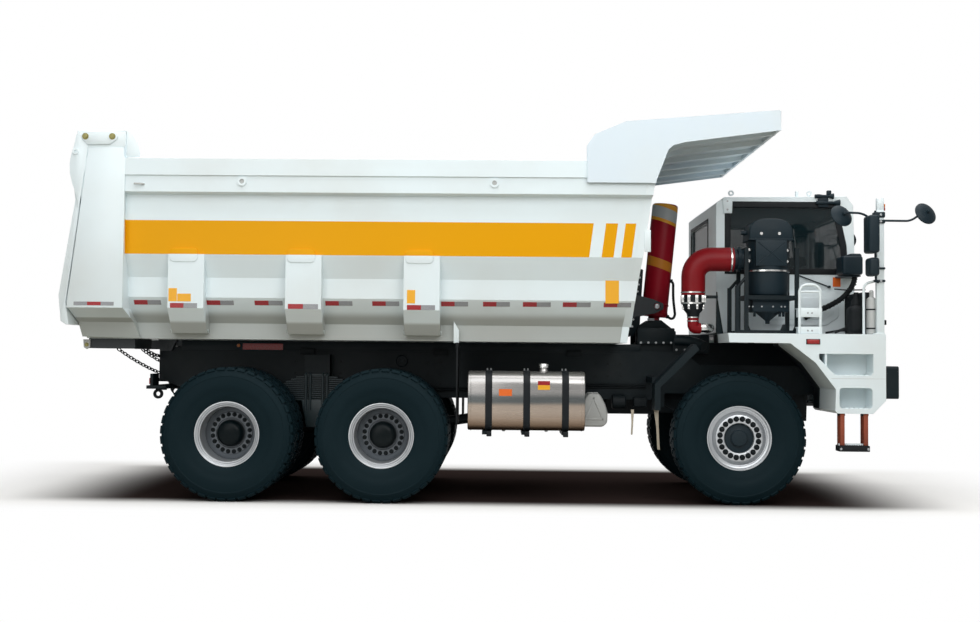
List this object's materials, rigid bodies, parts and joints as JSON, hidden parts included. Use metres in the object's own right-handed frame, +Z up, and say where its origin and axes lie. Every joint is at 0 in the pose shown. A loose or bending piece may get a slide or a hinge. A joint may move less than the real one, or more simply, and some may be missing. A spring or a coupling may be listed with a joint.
{
  "type": "mining dump truck",
  "caption": "Six-wheel off-road dump truck with a folded-plate tipping bed, cab canopy, twin rear wheels, offset cab, front hoist and steered front axle.",
  "frame": {"origin": "middle of the footprint at ground level", "axes": "+X forward, +Y to the left, +Z up"},
  "size_m": [9.6872, 4.02, 4.356],
  "materials": {
    "white_paint": "semi-gloss cab and bed paint",
    "chassis_black": "satin chassis paint",
    "cast_iron": "dark castings",
    "tyre_rubber": "dull rubber",
    "rim_silver": "silver wheel paint",
    "polished_aluminium": "polished sheet",
    "grey_steel": "dull grey pressing",
    "hoist_crimson": "gloss crimson",
    "hoist_chrome": "bright rod plating",
    "duct_silicone": "satin red silicone",
    "black_plastic": "satin black",
    "seat_fabric": "woven cloth",
    "tinted_glass": "dark tinted",
    "reflector_red": "prismatic sheet",
    "reflector_silver": "prismatic sheet",
    "stripe_yellow": "gloss stripe film",
    "zinc_fastener": "yellow zinc",
    "stainless": "bright",
    "amber_lens": "clear lens",
    "black_rubber": "matt",
    "step_orange": "webbing"
  },
  "bodies": {
    "chassis": {"air_filter": "black_plastic", "air_filter_frame": "chassis_black", "cab_floor": "white_paint", "cab_front": "white_paint", "cab_left_wall": "white_paint", "cab_rear_wall": "white_paint", "cab_right_wall": "white_paint", "cab_roof": "white_paint", "dashboard": "black_plastic", "deck_ladder": "white_paint", "deck_left": "white_paint", "deck_right": "white_paint", "driver_seat": "seat_fabric", "engine_block": "cast_iron", "frame": "chassis_black", "front_axle": "cast_iron", "front_bumper": "chassis_black", "fuel_tank": "polished_aluminium", "gearbox_and_shaft": "cast_iron", "hydraulic_tank": "chassis_black", "intake_duct": "duct_silicone", "mid_axle": "cast_iron", "mirror_post_left": "white_paint", "mirror_post_right": "white_paint", "oil_cooler": "chassis_black", "rear_axle": "cast_iron", "rear_window": "tinted_glass", "right_window": "tinted_glass", "tandem_suspension": "cast_iron", "urea_tank": "grey_steel", "windscreen": "tinted_glass"},
    "cab_door": {"cab_door": "white_paint", "door_window": "tinted_glass"},
    "knuckle_left": {"knuckle_left": "cast_iron"},
    "knuckle_right": {"knuckle_right": "cast_iron"},
    "tie_rod": {"tie_rod": "cast_iron"},
    "bed": {"bed_floor": "white_paint", "bed_side_left": "white_paint", "bed_side_right": "white_paint", "bed_front_wall": "white_paint", "canopy": "white_paint"},
    "tailgate": {"tailgate": "white_paint"},
    "hoist_cover": {"hoist_cover": "hoist_crimson"},
    "hoist_stage_4": {"hoist_stage_4": "hoist_chrome"},
    "hoist_stage_3": {"hoist_stage_3": "hoist_chrome"},
    "hoist_stage_2": {"hoist_stage_2": "hoist_chrome"},
    "hoist_stage_1": {"hoist_stage_1": "hoist_crimson"},
    "front_wheel_left": {"front_tyre_left": "tyre_rubber", "front_rim_left": "rim_silver"},
    "front_wheel_right": {"front_tyre_right": "tyre_rubber", "front_rim_right": "rim_silver"},
    "mid_wheels_left": {"mid_tyres_left": "tyre_rubber", "mid_rims_left": "rim_silver"},
    "mid_wheels_right": {"mid_tyres_right": "tyre_rubber", "mid_rims_right": "rim_silver"},
    "rear_wheels_left": {"rear_tyres_left": "tyre_rubber", "rear_rims_left": "rim_silver"},
    "rear_wheels_right": {"rear_tyres_right": "tyre_rubber", "rear_rims_right": "rim_silver"}
  },
  "joints": [
    {"name": "bed_tilt", "type": "hinge", "parent": "chassis", "child": "bed", "pos_m": [-3.9596, 0, 1.72], "axis": [0, -1, 0], "range_deg": [0, 45]},
    {"name": "tailgate_swing", "type": "hinge", "parent": "bed", "child": "tailgate", "pos_m": [-4.5946, 0, 4.04], "axis": [0, 1, 0], "range_deg": [0, 60]},
    {"name": "hoist_swing", "type": "hinge", "parent": "bed", "child": "hoist_cover", "pos_m": [1.9544, 0, 2.266], "axis": [0, 1, 0], "range_deg": [0, 13.41]},
    {"name": "hoist_slide_4", "type": "slide", "parent": "hoist_cover", "child": "hoist_stage_4", "axis": [-0.0976, 0, -0.9952], "range_m": [0, 1.1316]},
    {"name": "hoist_slide_3", "type": "slide", "parent": "hoist_stage_4", "child": "hoist_stage_3", "axis": [-0.0976, 0, -0.9952], "range_m": [0, 1.1316]},
    {"name": "hoist_slide_2", "type": "slide", "parent": "hoist_stage_3", "child": "hoist_stage_2", "axis": [-0.0976, 0, -0.9952], "range_m": [0, 1.1316]},
    {"name": "hoist_slide_1", "type": "slide", "parent": "hoist_stage_2", "child": "hoist_stage_1", "axis": [-0.0976, 0, -0.9952], "range_m": [0, 1.1316]},
    {"name": "steer_left", "type": "hinge", "parent": "chassis", "child": "knuckle_left", "pos_m": [2.7504, 0.96, 0.7465], "axis": [0, 0, 1], "range_deg": [-32, 32]},
    {"name": "steer_right", "type": "hinge", "parent": "chassis", "child": "knuckle_right", "pos_m": [2.7504, -0.96, 0.7465], "axis": [0, 0, 1], "range_deg": [-32, 32]},
    {"name": "tie_rod_swing", "type": "hinge", "parent": "knuckle_left", "child": "tie_rod", "pos_m": [2.4904, 0.96, 0.59], "axis": [0, 0, 1], "range_deg": [-32, 32]},
    {"name": "front_wheel_left_spin", "type": "hinge", "parent": "knuckle_left", "child": "front_wheel_left", "pos_m": [2.7504, 1.235, 0.7465], "axis": [0, 1, 0], "continuous": true},
    {"name": "front_wheel_right_spin", "type": "hinge", "parent": "knuckle_right", "child": "front_wheel_right", "pos_m": [2.7504, -1.235, 0.7465], "axis": [0, 1, 0], "continuous": true},
    {"name": "mid_wheels_left_spin", "type": "hinge", "parent": "chassis", "child": "mid_wheels_left", "pos_m": [-1.2596, 1.275, 0.7465], "axis": [0, 1, 0], "continuous": true},
    {"name": "mid_wheels_right_spin", "type": "hinge", "parent": "chassis", "child": "mid_wheels_right", "pos_m": [-1.2596, -1.275, 0.7465], "axis": [0, 1, 0], "continuous": true},
    {"name": "rear_wheels_left_spin", "type": "hinge", "parent": "chassis", "child": "rear_wheels_left", "pos_m": [-2.9826, 1.275, 0.7465], "axis": [0, 1, 0], "continuous": true},
    {"name": "rear_wheels_right_spin", "type": "hinge", "parent": "chassis", "child": "rear_wheels_right", "pos_m": [-2.9826, -1.275, 0.7465], "axis": [0, 1, 0], "continuous": true},
    {"name": "cab_door_swing", "type": "hinge", "parent": "chassis", "child": "cab_door", "pos_m": [4.1384, 1.758, 2.7], "axis": [0, 0, -1], "range_deg": [0, 70]}
  ],
  "couplings": [
    {"joint": "hoist_swing", "follows": "bed_tilt", "ratio": 0.29134},
    {"joint": "hoist_slide_4", "follows": "bed_tilt", "m_per_rad": 1.4357},
    {"joint": "hoist_slide_3", "follows": "bed_tilt", "m_per_rad": 1.4357},
    {"joint": "hoist_slide_2", "follows": "bed_tilt", "m_per_rad": 1.4357},
    {"joint": "hoist_slide_1", "follows": "bed_tilt", "m_per_rad": 1.4357},
    {"joint": "steer_right", "follows": "steer_left", "ratio": 1},
    {"joint": "tie_rod_swing", "follows": "steer_left", "ratio": -1}
  ]
}
